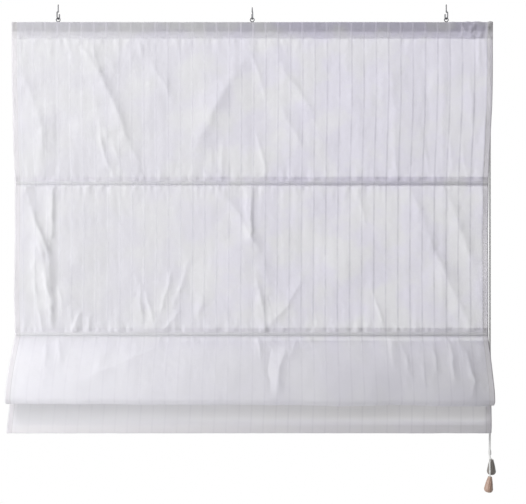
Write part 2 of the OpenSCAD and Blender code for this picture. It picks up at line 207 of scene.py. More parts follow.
def striped_cotton():
    """Thin white cotton: light passes through it, less where the denser pinstripe yarn runs, whose density
    comes and goes along it; the stripe is painted stronger to the right and fainter on the fold, as painted
    shade. Map weave gives metres across and along the cloth: past 1.36 lies the bottom panel, with painted
    shade that grows to the right, and past 2.8 the back of a rod pocket, painted darker as shade. Slubs are
    noise drawn out along the yarns, lilac patches are broad noise, with painted shade that makes them
    stronger to the right and most at the upper right, the side hems are painted a little darker as shade,
    and a painted shadow line of the sewing runs beside each edge."""
    f = Finish("striped_cotton")
    u, v, _ = f.map("weave")
    wander = f.noise(u * 3, v * 4, 11.0, 2.0) - 0.5
    off = abs((((u - STRIPE_SHIFT + wander * 0.004) / STRIPE_STEP) + 0.5).part() - 0.5) * STRIPE_STEP
    dense = f.noise(u * 21, v * 16, 5.0, 3.0).ease(0.25, 0.75)
    folded = v.ease(0.92, 1.0)
    # The stripe is painted stronger to the right and fainter on the fold: painted shade, not a change in the
    # yarn.
    side = (u.ease(-0.7, 0.3) * 0.45 + 0.55) * (1 - folded * 0.6)
    stripe = (1 - off.ease(0.0010, 0.0042)) * (dense * 0.42 + 0.30) * side
    # A thin line beside each edge, where the hem is sewn, is painted darker and lets less light through: a
    # painted shadow line of the sewing.
    stitch_shadow = 1 - abs(abs(u) - (HALF - SIDE_HEM + 0.001)).ease(0.0005, 0.0016)
    slub = f.noise(u * 900, v * 30, 0.0, 2.0)
    weft = f.noise(u * 30, v * 900, 3.0, 2.0)
    cloudy = f.noise(u, v, 7.0, 3.0, 9.0)
    weave = ((u * 9000).sine() * (v * 9000).sine()) * 0.5 + 0.5
    # Lilac patches: a tint that varies at random by broad noise, with painted shade that makes it stronger
    # to the right and adds a patch at the upper right.
    lilac_and_shade = cloudy.ease(0.36, 0.62) * (u.ease(-0.6, 0.4) * 0.7 + 0.3) * (1 - v.ease(0.9, 1.02) * 0.8)
    lilac_and_shade = (lilac_and_shade + u.ease(0.0, 0.35) * (1 - v.ease(0.45, 0.6)) * 0.35).clamped()
    tone = f.mix(lilac_and_shade, tint(0.944, 0.944, 0.954), tint(0.912, 0.896, 0.980))
    below = v.ease(BOTTOM_WAY, 1.45)
    # Painted shade on the bottom panel, growing to the right, down to about the bar.
    band_shade = below * (1 - v.ease(1.575, 1.605)) * u.ease(-0.6, 0.4)
    tone = f.mix(band_shade, tone, tint(0.82, 0.815, 0.81))
    tone = f.mix(((slub + weft - 1) * 0.5 + 0.2).clamped() * (1 - band_shade), tone, tint(0.90, 0.90, 0.918))
    tone = f.mix((stripe * 0.85).clamped(), tone, tint(0.73, 0.72, 0.76))
    # The side hems, where the cloth lies double, are painted a little darker: painted shade.
    tone = f.mix(((abs(u) - (HALF - SIDE_HEM)) * 1000).clamped() * 0.8, tone, tint(0.90, 0.892, 0.896))
    tone = f.mix(stitch_shadow * 0.6, tone, tint(0.80, 0.795, 0.80))
    # Past 2.8 the backs of the rod pockets are painted darker and let less light through: painted shade on
    # the band round each rod.
    pocket_shade = v.ease(2.8, 2.9)
    tone = f.mix(pocket_shade, tone, tint(0.78, 0.77, 0.79))
    pucker = f.noise(u * 60, v * 110, 9.0, 2.0)
    height = weave * 0.2 + slub * 0.2 + weft * 0.2 + stripe * 0.3 + pucker * (stripe * 2 + 0.6)
    surface = f.coat(tone, 0.86 + (slub - 0.5) * 0.12, (height, 0.5, 0.0006),
                     {"Specular IOR Level": 0.25, "Sheen Weight": 0.12, "Sheen Roughness": 0.5})
    through = f.add("ShaderNodeBsdfTranslucent", None, {"Color": tint(0.963, 0.958, 0.971)})
    share = 0.55 + (slub + weft - 1) * 0.12 + (cloudy - 0.5) * 0.06 - stripe * 0.40 - stitch_shadow * 0.2
    share = share - folded * 0.06 + below * 0.11 - band_shade * 0.11 - pocket_shade * 0.25
    return f.done(f.blend(share.clamped(), surface, through))


def sewing_thread():
    """White sewing thread: fine slanted plies as a sine of the way round and along."""
    f = Finish("sewing_thread")
    turn, along, _ = f.map("wrap")
    ply = (turn * 12.566 + along * 9000).sine() * 0.5 + 0.5
    tone = f.mix(ply, tint(0.78, 0.78, 0.79), tint(0.92, 0.92, 0.92))
    return f.done(f.coat(tone, 0.6 + ply * 0.15, (ply, 0.3, 0.0001)))


def braided_cord():
    """White cord: two sets of yarns that cross, as sines of the way round plus and minus the way along,
    with a little soiling as noise along it."""
    f = Finish("braided_cord")
    turn, along, _ = f.map("wrap")
    one = (turn * 37.7 + along * 2600).sine()
    two = (turn * 37.7 - along * 2600).sine()
    yarn = (one * two) * 0.5 + 0.5
    soil = f.noise(along * 14, turn * 2, 0.0, 3.0).ease(0.45, 0.75)
    tone = f.mix(yarn, tint(0.90, 0.90, 0.895), tint(0.975, 0.975, 0.97))
    tone = f.mix(soil * 0.25, tone, tint(0.80, 0.79, 0.76))
    return f.done(f.coat(tone, 0.82 + (yarn - 0.5) * 0.1, (yarn, 0.35, 0.0002), {"Sheen Weight": 0.15}))


def zinc_steel():
    """Dull grey plated wire: spangle as broad noise, drawing marks as fine noise, dull patches in the
    roughness."""
    f = Finish("zinc_steel")
    x, y, z = f.place()
    spangle = f.noise(x, y, z, 3.0, 420.0)
    marks = f.noise(x * 2600, y * 2600, z * 500, 2.0)
    tone = f.mix(spangle.ease(0.3, 0.7), tint(0.33, 0.33, 0.34), tint(0.47, 0.47, 0.48))
    rough = 0.30 + spangle * 0.2 + marks * 0.06
    return f.done(f.coat(tone, rough, (marks, 0.2, 0.00012), {"Metallic": 1.0}))


def planed_pine(name, pale, dark):
    """Planed softwood along X: growth lines as a sine of the height bent by noise, short pores as drawn-out
    noise."""
    f = Finish(name)
    x, y, z = f.place()
    bend = f.noise(x * 2.2, y * 26, z * 26, 3.0)
    lines = ((z * 900 + y * 500 + bend * 14).sine() * 0.5 + 0.5) ** 2.0
    pores = f.noise(x * 60, y * 1900, z * 1900, 2.0)
    tone = f.mix(lines * 0.7, pale, dark)
    tone = f.mix(pores.ease(0.55, 0.75) * 0.4, tone, dark)
    relief = lines * 0.5 + pores * 0.5
    return f.done(f.coat(tone, 0.55 + pores * 0.2, (relief, 0.25, 0.0003), {"Specular IOR Level": 0.35}))


def glass_fibre():
    """Drawn glass-fibre rod: pale body with long fibre streaks."""
    f = Finish("glass_fibre")
    x, y, z = f.place()
    streak = f.noise(x * 5, y * 1500, z * 1500, 3.0)
    tone = f.mix(streak.ease(0.35, 0.7), tint(0.66, 0.67, 0.66), tint(0.78, 0.79, 0.77))
    return f.done(f.coat(tone, 0.36 + streak * 0.2, (streak, 0.2, 0.0001)))


def ring_plastic():
    """Moulded ring plastic: slight yellowing and a fine orange-peel skin."""
    f = Finish("ring_plastic")
    x, y, z = f.place()
    age = f.noise(x, y, z, 2.0, 120.0)
    skin = f.noise(x, y, z, 1.0, 2400.0)
    tone = f.mix(age.ease(0.35, 0.75), tint(0.90, 0.90, 0.88), tint(0.84, 0.83, 0.78))
    return f.done(f.coat(tone, 0.28 + age * 0.15, (skin, 0.1, 0.0001)))


def turned_wood(name, pale, dark, worn):
    """Turned hardwood in its own upright coordinates (attribute upright): growth rings as a sine of the
    distance from an off-centre pith bent by noise, pores along the axis, and wear on the shoulder and
    foot."""
    f = Finish(name)
    x, y, z = f.axes(f.add("ShaderNodeAttribute", {"attribute_name": "upright"}, None, "Vector"))
    warp = f.noise(x * 60, y * 60, z * 14, 3.0)
    away = ((x + 0.02) ** 2.0 + (y - 0.011) ** 2.0) ** 0.5
    rings = ((away * 1500 + warp * 9).sine() * 0.5 + 0.5) ** 1.5
    pores = f.noise(x * 2600, y * 2600, z * 130, 2.0).ease(0.52, 0.72)
    tone = f.mix(rings * 0.75, pale, dark)
    tone = f.mix(pores * 0.45, tone, dark)
    edge = (z + 0.0035).ease(-0.002, 0.002) * 0.5 + (1 - (z + 0.043).ease(-0.003, 0.003)) * 0.35
    tone = f.mix((edge * f.noise(x, y, z, 3.0, 260.0)).clamped(), tone, worn)
    return f.done(f.coat(tone, 0.34 + rings * 0.12 + pores * 0.1, (rings * 0.4 + pores * 0.6, 0.18, 0.0002),
                         {"Coat Weight": 0.18, "Coat Roughness": 0.25}))


COTTON = striped_cotton()
THREAD = sewing_thread()
CORD = braided_cord()
STEEL = zinc_steel()

# Mesh making


def grid_faces(rows, columns, closed=False):
    """Quads between neighbouring rows and columns of a grid; closed joins its last column to its first."""
    index = np.arange(rows * columns).reshape(rows, columns)
    if closed:
        index = np.hstack([index, index[:, :1]])
    return np.stack([index[:-1, :-1], index[1:, :-1], index[1:, 1:], index[:-1, 1:]], -1).reshape(-1, 4)


def make_piece(name, shape, material, body=None, map_name=None, upright=None):
    """One smooth mesh object at the origin. Its shape is an array of points, arrays of faces with equal
    corner counts, and one pair a point for the named map; upright is one vector a point."""
    points, faces, uv = shape
    mesh = bpy.data.meshes.new(name)
    corners = np.concatenate([f.ravel() for f in faces]).astype(np.int32)
    counts = np.concatenate([np.full(len(f), f.shape[1]) for f in faces])
    starts = np.concatenate([[0], np.cumsum(counts)[:-1]]).astype(np.int32)
    mesh.vertices.add(len(points))
    mesh.vertices.foreach_set("co", np.float32(points).ravel())
    mesh.loops.add(len(corners))
    mesh.loops.foreach_set("vertex_index", corners)
    mesh.polygons.add(len(counts))
    mesh.polygons.foreach_set("loop_start", starts)
    mesh.update(calc_edges=True)
    mesh.polygons.foreach_set("use_smooth", counts == 4)
    if map_name:
        layer = mesh.uv_layers.new(name=map_name)
        layer.uv.foreach_set("vector", np.float32(uv[corners]).ravel())
    if upright is not None:
        layer = mesh.attributes.new("upright", "FLOAT_VECTOR", "POINT")
        layer.data.foreach_set("vector", np.float32(upright).ravel())
    mesh.validate()
    mesh.materials.append(material)
    piece = bpy.data.objects.new(name, mesh)
    scene.collection.objects.link(piece)
    if body:
        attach(piece, body)
    return piece


def rows_of(*arrays):
    """Arrays spread over one grid, as one row of numbers for each place on it."""
    return np.stack(np.broadcast_arrays(*arrays), -1).reshape(-1, len(arrays))


def round_angles(sides):
    """Angles at equal steps round a full turn, in radians."""
    return np.linspace(0, 2 * np.pi, sides, endpoint=False)


def unit(vectors):
    """Vectors over their own lengths."""
    return vectors / np.linalg.norm(vectors, axis=-1, keepdims=True)


def way_along(path):
    """Length along a line at each of its points: the sum of the steps before it."""
    return np.concatenate([[0], np.cumsum(np.linalg.norm(np.diff(path, axis=0), axis=1))])


def even(path, step):
    """The same line with its points spread evenly by length, about a step apart."""
    way = way_along(path)
    at = np.linspace(0, way[-1], max(2, int(round(way[-1] / step)) + 1))
    return np.stack([np.interp(at, way, path[:, k]) for k in range(path.shape[1])], 1)


def rounded(corners, radius, step):
    """A line of straight runs with each corner eased by a quadratic curve, which starts and ends at most
    radius from the corner; the points are then spread evenly."""
    corners = np.asarray(corners, float)
    line = [corners[:1]]
    t = np.linspace(0, 1, 9)[:, None]
    for before, at, after in zip(corners[:-2], corners[1:-1], corners[2:]):
        reach = min(radius, 0.48 * np.linalg.norm(at - before), 0.48 * np.linalg.norm(after - at))
        a, b = at + reach * unit(before - at), at + reach * unit(after - at)
        line.append((1 - t) ** 2 * a + 2 * t * (1 - t) * at + t ** 2 * b)
    return even(np.concatenate(line + [corners[-1:]]), step)


def tube(path, radius, across, sides):
    """A round section carried along a path. At each point the first spoke stands across both the tangent
    and a fixed direction, the second across the spoke and the tangent, and the radius may differ by point
    and by side. Returns points, faces with flat end caps, and a map of the share of a turn and the length
    along."""
    tangent = unit(np.gradient(path, axis=0))
    spoke = unit(np.cross(tangent, across))
    other = np.cross(spoke, tangent)
    angle = round_angles(sides)
    if np.ndim(radius) < 2:
        radius = np.reshape(radius, (-1, 1))
    ring = spoke[:, None] * np.cos(angle)[:, None] + other[:, None] * np.sin(angle)[:, None]
    points = (path[:, None] + ring * radius[..., None]).reshape(-1, 3)
    uv = rows_of(angle[None] / (2 * np.pi), way_along(path)[:, None])
    rows = len(path)
    caps = np.stack([np.arange(sides), np.arange(rows * sides - 1, (rows - 1) * sides - 1, -1)])
    return points, [grid_faces(rows, sides, True), caps], uv


def joined(parts):
    """Several (points, faces, map) put into one, with the faces' numbers moved on."""
    points, faces, maps, first = [], [], [], 0
    for p, fs, m in parts:
        points.append(p)
        maps.append(m)
        faces += [f + first for f in fs]
        first += len(p)
    return np.concatenate(points), faces, np.concatenate(maps)


# Cords

COLUMNS = [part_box(f"ring_1_{w}")[0].x / 2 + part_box(f"ring_1_{w}")[1].x / 2 for w in WAYS]
CORD_D = 0.002
CORD_STEP = 0.0015
CORD_BEND = 0.006
CORD_TWIST = 0.011
RUN_Z = -48.5
RUN_END = 688
RUN_YS = (17.7, 20.0, 22.3)
TURN_XS = (689.7, 692.0, 694.3)
KNOT_XS = (697.7, 700.0, 702.3)
STRANDS = (
    ((697.8, 20.8, -1304), (697.8, 20.8, -1308), (698.2, 20.5, -1335), (699.3, 20.5, -1360),
     (699.4, 20.5, -1366), (698.2, 20.5, -1375.8)),
    ((700.2, 19.8, -1304), (700.2, 19.8, -1308), (700.6, 20, -1335), (701.5, 20.5, -1360),
     (701.6, 20.5, -1366.2), (700.4, 20.5, -1376)),
    ((701.4, 24.2, -1304), (701.4, 24.2, -1306), (704.5, 27.8, -1312), (707.5, 31.5, -1318),
     (707.8, 32.7, -1327.9)),
)


def lift_route(x, y):
    """From the knot on the lowest ring, up behind the cloth, through the cord eye and along the batten."""
    return [(x, 16.5, -958.5), (x, 16.5, -955), (x, 13.8, -948), (x, 13.8, -500), (x, 13.8, -110),
            (x, y, -64), (x, y, -56.5), (x + 1.1, y, -52.5), (x + 4, y, -49.6), (x + 8, y, RUN_Z),
            (x + 12, y, RUN_Z), (RUN_END, y, RUN_Z)]


def pull_route(a, y, end_x):
    """From the end of the run along the batten, through the outlet eye and down to the gathering knot."""
    return [(RUN_END, y, RUN_Z), (a, y, RUN_Z), (a + 4, y, -49.6), (a + 6.9, y, -52.5), (a + 8, y, -56.5),
            (a + 8, y, -700), (a + 8, y, -1180), (end_x, 22, -1280), (end_x, 22, -1288)]


def twisted_cord(name, route):
    """Cord along a route: its radius swells twice round the section, and the swell turns along the cord."""
    path = rounded(np.array(route) * MM, CORD_BEND, CORD_STEP)
    sides = 10
    along = np.linspace(0, (len(path) - 1) * CORD_STEP, len(path))[:, None]
    swell = np.cos(2 * (round_angles(sides)[None] - 2 * np.pi * along / CORD_TWIST))
    radius = CORD_D / 2 * (0.94 + 0.06 * swell)
    piece = make_piece(name, tube(path, radius, (0, 1, 0.02), sides), CORD, None, "wrap")
    return piece, path, round(float(way_along(path)[-1]), 3)


def wound_knot(name, axis, top_z, bottom_z, core, swell, turns, node, body, lean=(0.0, 0.0)):
    """Knot of wound cord: a tube along a helix whose radius swells as a half sine between the ends, over a
    plain spindle that closes the gaps between the turns."""
    count = int(turns * 18) + 1
    t = np.linspace(0, 1, count)
    tall = top_z - bottom_z
    wire = min(CORD_D / 2, 0.62 * tall / (turns + 1))
    helix = core + swell * np.sin(np.pi * t) ** 0.7 - wire * 0.4
    z = top_z - wire - (tall - 2 * wire) * t
    x = axis[0] + lean[0] * (top_z - z) + helix * np.cos(2 * np.pi * turns * t)
    y = axis[1] + lean[1] * (top_z - z) + helix * np.sin(2 * np.pi * turns * t)
    coil = tube(np.stack([x, y, z], 1), wire, (0, 0, 1), 8)
    s = np.linspace(0, 1, 13)
    spine = np.stack([axis[0] + lean[0] * tall * s, axis[1] + lean[1] * tall * s, top_z - tall * s], 1)
    thick = np.maximum(core + swell * np.sin(np.pi * s) ** 0.7 - wire * 0.7, core * 0.6)
    shape = joined([coil, tube(spine, thick, (0, 1, 0), 14)])
    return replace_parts(make_piece(name, shape, CORD, body, "wrap"), node)


gathering_knot = wound_knot("gathering_knot", (0.7, 0.022), -1.288, -1.304, 0.0032, 0.0009, 6.5,
                            "cord_knot", "pulls")
tied_ends = [wound_knot(f"tied_end_{w}", (x, 0.0165), -0.9586, -0.9636, 0.0014, 0.0006, 2.5,
                        f"tie_knot_{w}", "lower")
             for w, x in zip(WAYS, COLUMNS)]


# Pulls

PULLS = (("lower", (700.5, 20.5, -1366), (0, 7, 0)), ("upper", (707.5, 31.5, -1318), (7, -2, 0)))


def tilt(turn):
    """Rotation about X, then Y, then Z, in degrees, as the solids are turned."""
    whole = np.eye(3)
    for axis, angle in enumerate(np.radians(turn)):
        one, i, j = np.eye(3), (axis + 1) % 3, (axis + 2) % 3
        one[i, i] = one[j, j] = np.cos(angle)
        one[i, j], one[j, i] = -np.sin(angle), np.sin(angle)
        whole = one @ whole
    return whole


def turned_pull(name, at, turn, material, node):
    """Pull turned about its axis: the radius rises from the flat top over a small rim, swells down the
    flank as a line plus a half sine, turns in round the foot as a quarter ellipse, then runs up inside the
    hollow and the cord hole. Two fine grooves are cut round the foot."""
    top, wide, foot, bore, hollow = 6.0, 13.0, 5.85, 2.4, 4.0
    rim, crown, tall, neck = 1.2, 10.0, 46.0, 10.0
    q = np.linspace(0, np.pi / 2, 9)
    s = np.linspace(0, 1, 40)[1:-1]
    flank_z = -rim - (tall - crown - rim) * s
    flank_r = top + (wide - top) * (s + 0.08 * np.sin(np.pi * s))
    for groove in (-32.0, -34.0):
        flank_r = flank_r - 0.3 * np.exp(-((flank_z - groove) / 0.45) ** 2)
    r = np.concatenate([[bore, bore + 0.4], top - rim + rim * np.sin(q), flank_r,
                        foot + (wide - foot) * np.cos(q),
                        [hollow + 0.4, hollow, hollow, hollow * 0.9, bore, bore]])
    z = np.concatenate([[-0.4, 0], -rim * (1 - np.cos(q)), flank_z, -tall + crown * (1 - np.sin(q)),
                        [-tall, -tall + 0.4, -neck - 0.3, -neck, -neck, -5.0]])
    sides = 48
    angle = round_angles(sides)
    own = rows_of(r[:, None] * np.cos(angle), r[:, None] * np.sin(angle), z[:, None]) * MM
    points = own @ tilt(turn).T + np.array(at) * MM
    faces = grid_faces(len(r) + 1, sides, True) % (len(r) * sides)
    piece = make_piece(name, (points, [faces[:, ::-1]], None), material, "pulls", None, own)
    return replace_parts(piece, node)


WARM = turned_wood("warm_turned_wood", tint(0.72, 0.61, 0.545), tint(0.49, 0.37, 0.315),
                   tint(0.80, 0.75, 0.68))
# The upper pull is the same wood as the lower one, painted darker: a shaded copy, painted shade.
SHADED_WOOD = turned_wood("shaded_turned_wood", tint(0.51, 0.485, 0.465), tint(0.34, 0.32, 0.305),
                   tint(0.62, 0.60, 0.58))
pull_pieces = [turned_pull(f"wooden_pull_{which}", at, turn, wood, f"{which}_pull")
               for (which, at, turn), wood in zip(PULLS, (WARM, SHADED_WOOD))]


def knot_in_pull(which, at, turn):
    """Stop knot under the cord hole: it lies along the pull's own tilted axis."""
    axis = tilt(turn) @ np.array([0, 0, -1.0])
    start = (np.array(at) + axis * 10.2) * MM
    lean = (axis[0] / -axis[2], axis[1] / -axis[2])
    return wound_knot(f"stop_knot_in_{which}_pull", start[:2], start[2], start[2] - 0.006, 0.0022, 0.0006, 3,
                      f"{which}_stop_knot", "pulls", lean)


stop_knots = [knot_in_pull(*pull) for pull in PULLS]


def string_the_cords():
    """Three lift cords that stretch with the lift, and three hand cords that shorten with the pulls: each
    runs through the gathering knot to the stop knot in its pull, two to the lower pull and one to the
    upper."""
    for k, (way, x) in enumerate(zip(WAYS, COLUMNS)):
        cord, path, length = twisted_cord(f"lifting_cord_{way}", lift_route(x / MM, RUN_YS[k]))
        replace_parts(cord, f"lift_cord_{way}")
        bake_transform(cord, "head", "lower", start=(x, 0.0138, -0.075), end=(x, 0.0138, -0.95))
        route = pull_route(TURN_XS[k], RUN_YS[k], KNOT_XS[k]) + list(STRANDS[k])
        cord, path, length = twisted_cord(f"hand_cord_{way}", route)
        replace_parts(cord, f"pull_cord_{way}", f"strand_{way}")
        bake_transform(cord, "head", "pulls", start=(0.7, 0.021, -0.075), end=(0.7, 0.021, -1.282))


string_the_cords()

# Hooks


def threaded_hook(way, x, turn, screw):
    """Screw hook: wire along a screw, neck, two quarter bends, leg, half bend and lip, all in one plane
    that is turned about the screw. On the screw the radius follows a ridge that climbs one pitch a turn,
    and shrinks to the point; the lip's end is a half ball."""
    wire, crest, core, pitch = 2.0, 1.9, 1.4, 1.6
    sweep, bend, leg_top, bend_z, lip = 3.5, 7.0, -8.0, -16.8, -8.8
    up = np.arange(screw, -0.001, -0.13)
    q = np.linspace(0, np.pi / 2, 12)[1:]
    h = np.linspace(0, np.pi, 26)[1:]
    ball = np.sin(np.linspace(0, np.pi / 2, 7)[1:])
    path_x = np.concatenate([0 * up, [0], -sweep + sweep * np.cos(q), -sweep - sweep * np.sin(q),
                             [-bend] * 7, -bend * np.cos(h), [bend] * 12])
    path_z = np.concatenate([up, [-1], -1 - sweep * np.sin(q), leg_top + sweep * np.cos(q),
                             np.linspace(leg_top, bend_z, 8)[1:], bend_z - bend * np.sin(h),
                             np.linspace(bend_z, lip, 7)[1:], lip + wire * ball])
    path = np.stack([path_x, 0 * path_x, path_z], 1)
    sides = 20
    angle = round_angles(sides)[None]
    climb = (path_z[:, None] / pitch - angle / (2 * np.pi)) % 1
    ridge = np.clip(1 - np.abs(climb - 0.5) * 3.2, 0, 1)
    threaded = core + (crest - core) * ridge
    plain = np.clip((2.5 - path_z) / 1.5, 0, 1)[:, None]
    radius = threaded * (1 - plain) + wire * plain
    radius = radius * np.clip((screw - path_z) / 4.0 + 0.12, 0, 1)[:, None]
    radius[-6:] = wire * np.sqrt(np.clip(1 - ball ** 2, 0.0004, 1))[:, None]
    points, faces, uv = tube(path, radius, (0, 1, 0), sides)
    points = points @ tilt((0, 0, 90 + turn)).T * MM + np.array([x, 0, 0])
    piece = make_piece(f"screw_hook_{way}", (points, faces, uv), STEEL, "head", "wrap")
    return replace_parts(piece, f"hook_{way}")


for way, x, turn, screw in zip(WAYS, COLUMNS, (-15, 8, 18), (20.5, 12.0, 20.5)):
    threaded_hook(way, x, turn, screw)

# Cloth

BATTEN_LOW, BATTEN_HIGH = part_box("top_batten")
RODS = [(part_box(f"rod_{k}")[0].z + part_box(f"rod_{k}")[1].z) / 2 for k in (1, 2, 3)]
BAR_LOW, BAR_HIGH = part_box("bottom_bar")
FOLD_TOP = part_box("cloth_fold")[1].z
CLOTH_GAP = 0.0006
SLEEVE = BATTEN_HIGH.y + CLOTH_GAP
SLEEVE_TOP = BATTEN_HIGH.z + CLOTH_GAP
SLEEVE_LOW = BATTEN_LOW.z - CLOTH_GAP
HEADER_SEAM = SLEEVE_LOW - 0.017
PANEL_Y = -0.002
BACKING_Y = PANEL_Y + 0.0008
POCKET = 0.0035
POCKET_SEAM = 0.0045
THIRD_ROD_Y = -0.0049
FOLD_FRONT, FOLD_BEND = -0.056, 0.022
FOLD_TURN = RODS[1] - 0.2 + FOLD_BEND
HEM_Y = -0.020
CLOTH_COLUMNS = 440
LATTICE = 97


def steps(a, b, step):
    """Points on the straight from a up to, but not at, b."""
    a, b = np.array(a, float), np.array(b, float)
    n = max(1, int(round(np.linalg.norm(b - a) / step)))
    return a + (b - a) * np.arange(n)[:, None] / n


def turn_round(centre, radius, start, end, n):
    """Points on an arc in the (y, z) plane, angles in degrees from +y towards +z."""
    a = np.radians(np.linspace(start, end, n))
    return np.stack([centre[0] + radius * np.cos(a), centre[1] + radius * np.sin(a)], 1)


def ripples(x, z, size, seed):
    """Smooth seeded noise of about -1 to 1: random heights on a square lattice, eased between them."""
    heights = np.random.default_rng(seed).uniform(-1, 1, (LATTICE, LATTICE))
    i, j = np.floor(x / size).astype(int), np.floor(z / size).astype(int)
    fx, fz = x / size - i, z / size - j
    fx, fz = fx * fx * (3 - 2 * fx), fz * fz * (3 - 2 * fz)
    low, high = (heights[i % LATTICE, (j + b) % LATTICE] * (1 - fx)
                 + heights[(i + 1) % LATTICE, (j + b) % LATTICE] * fx for b in (0, 1))
    return low * (1 - fz) + high * fz


def creases(x, z, lines, depth, seed):
    """Sum of creases towards the room. Each is a width on its left and on its right in pixels, a height in
    mm, and picture points at that depth from the top down. From the rounded crest the height falls off on
    each side as e to minus the distance over that side's width; it fades at the line's ends, and seeded
    noise bends and varies it."""
    pixel = (depth - EYE[1]) / FOCAL_PIXELS
    x = x + pixel * (1.3 * ripples(x, z, 0.045, seed) + 0.6 * ripples(x, z, 0.016, seed + 1))
    total = 0
    for left, right, height, *stops in lines:
        at = np.array([seen_at(px, py, depth) for px, py in stops])
        gone = way_along(at)
        near, side, share = np.inf, 0, 0
        for a, b, start, run in zip(at[:-1], at[1:], gone[:-1], np.diff(gone)):
            d = (b - a) / run
            t = np.clip((x - a[0]) * d[0] + (z - a[1]) * d[1], 0, run)
            away = np.hypot(x - a[0] - t * d[0], z - a[1] - t * d[1])
            side = np.where(away < near, d[0] * (z - a[1]) - d[1] * (x - a[0]), side)
            share = np.where(away < near, (start + t) / gone[-1], share)
            near = np.minimum(near, away)
        crest = 0.3 * min(left, right)
        fall = (np.hypot(near / pixel, crest) - crest) / np.where(side > 0, right, left)
        total = total + height * MM * np.exp(-fall) * np.sin(np.pi * (0.05 + 0.9 * share)) ** 0.6
    return total * (1 + 0.35 * ripples(x, z, 0.03, seed + 2))


HEADER_CREASES = (
    (2, 2.5, 1.6, (16, 32), (24, 44)),
    (2.5, 2, 0.9, (26, 24), (30, 38)),
    (3, 2, 1, (38, 23), (46, 36)),
    (2, 2, 0.8, (52, 28), (49, 40)),
    (3, 2, 1.8, (465, 28), (472, 42)),
    (2.2, 2, 2.8, (476, 22), (471, 34), (474, 42)),
    (2, 2, 2.6, (482, 23), (480, 42)),
    (2, 1.8, 2, (488, 22), (487, 40)),
)
FIRST_PANEL_CREASES = (
    (22, 4.5, 5.1, (78, 34), (80, 47), (88, 56), (102, 77), (114, 105), (122, 123), (129, 143), (140, 166)),
    (3, 3, 2, (91, 38), (96, 59), (103, 75)),
    (5, 4, 1.7, (112, 58), (115, 76)),
    (2.5, 6, 2.2, (70, 42), (72, 62)),
    (9, 6, 4.4, (24, 72), (31, 92), (37, 110), (42, 130), (43, 155), (44, 176)),
    (5, 3, 1.7, (52, 108), (55, 145)),
    (2.2, 3.5, 2.7, (100, 122), (101, 143), (106, 159), (114, 176)),
    (3, 2.5, 1.4, (105, 126), (108, 140)),
    (3, 2.5, 1.5, (115, 143), (119, 160)),
    (2.5, 2.5, 1.4, (128, 48), (131, 62)),
    (2.5, 2.5, 1.4, (140, 44), (143, 58)),
    (3, 2.5, 1.7, (150, 60), (156, 72), (167, 88)),
    (3, 2.5, 1.5, (165, 70), (169, 100)),
    (12, 9, 4.4, (252, 46), (247, 56), (236, 74), (226, 87), (213, 111), (202, 135), (199, 160)),
    (2.5, 5, 3.1, (252, 56), (259, 76), (265, 99)),
    (7, 4, 3.4, (275, 48), (287, 77), (300, 92), (312, 112), (318, 128)),
    (6, 4, 2.2, (278, 100), (287, 119), (297, 137), (305, 157)),
    (2.2, 3.5, 2.5, (256, 134), (263, 159), (266, 175)),
    (2, 2.5, 1.7, (211, 148), (212, 174)),
    (2, 2.5, 1.5, (222, 144), (223, 172)),
    (10, 10, 2.7, (345, 50), (362, 165)),
    (9, 9, 2.7, (388, 46), (398, 165)),
    (9, 9, -2.7, (426, 46), (430, 165)),
    (2, 2, 1.4, (395, 148), (397, 175)),
    (2, 2.5, 1.7, (425, 138), (428, 175)),
    (2, 2.5, 1.7, (449, 136), (453, 172)),
    (2, 2.5, 1.5, (462, 144), (466, 176)),
    (4, 2.5, 2, (470, 78), (472, 132)),
    (2, 2.5, 2.2, (478, 36), (479, 74)),
    (2.5, 3, 2, (484, 118), (485, 172)),
    (5, 2.5, 2.4, (488, 38), (489, 80), (488, 118)),
)
SECOND_PANEL_CREASES = (
    (9, 3.5, 5.1, (24, 184), (30, 204), (37, 224), (43, 236), (48, 250), (51, 270), (53, 302)),
    (5, 2.2, 3.7, (52, 183), (52.5, 215), (52, 241)),
    (5, 4, 4.4, (40, 242), (46, 268), (50, 298), (53, 332)),
    (4, 2, 2, (35, 248), (38, 308)),
    (1.8, 2, 1.7, (40, 310), (43, 332)),
    (2, 2.5, 1.5, (61, 288), (63, 310)),
    (6, 5, 2, (69, 273), (71, 320)),
    (2.2, 3, 2.2, (82, 311), (70, 334)),
    (2, 2.5, 1.7, (92, 314), (87, 333)),
    (4, 2, 3.1, (141.5, 284), (141.5, 324)),
    (2.4, 3, 2.7, (146, 288), (155, 334)),
    (2.2, 3, 2.5, (172, 272), (159, 314)),
    (2.2, 3, 2.5, (179, 311), (160, 334)),
    (3, 3.5, 2.4, (188, 262), (182, 282), (173, 308)),
    (2.5, 3, 1.9, (203, 294), (199, 318)),
    (20, 6, 4.4, (216, 184), (236, 212), (252, 238), (262, 256), (268, 292)),
    (4, 2, 4.1, (252, 183), (252, 214), (251.5, 241)),
    (2, 2.5, 1.7, (247, 194), (248, 222)),
    (5, 2.5, 3.7, (258, 278), (262, 304), (265, 334)),
    (6, 3.5, 2.7, (302, 280), (287, 306), (265, 328)),
    (4, 3, 2.4, (357, 184), (362, 206), (365, 224)),
    (2.2, 3, 2.5, (372, 284), (378, 308), (384, 334)),
    (11, 6, 5.4, (409, 188), (421, 214), (432, 246), (444, 274), (460, 304), (475, 332)),
    (9, 5, 4.8, (445, 188), (455, 214), (464, 242), (474, 268), (481, 292)),
    (5, 3, 3.1, (480, 184), (484, 217)),
)
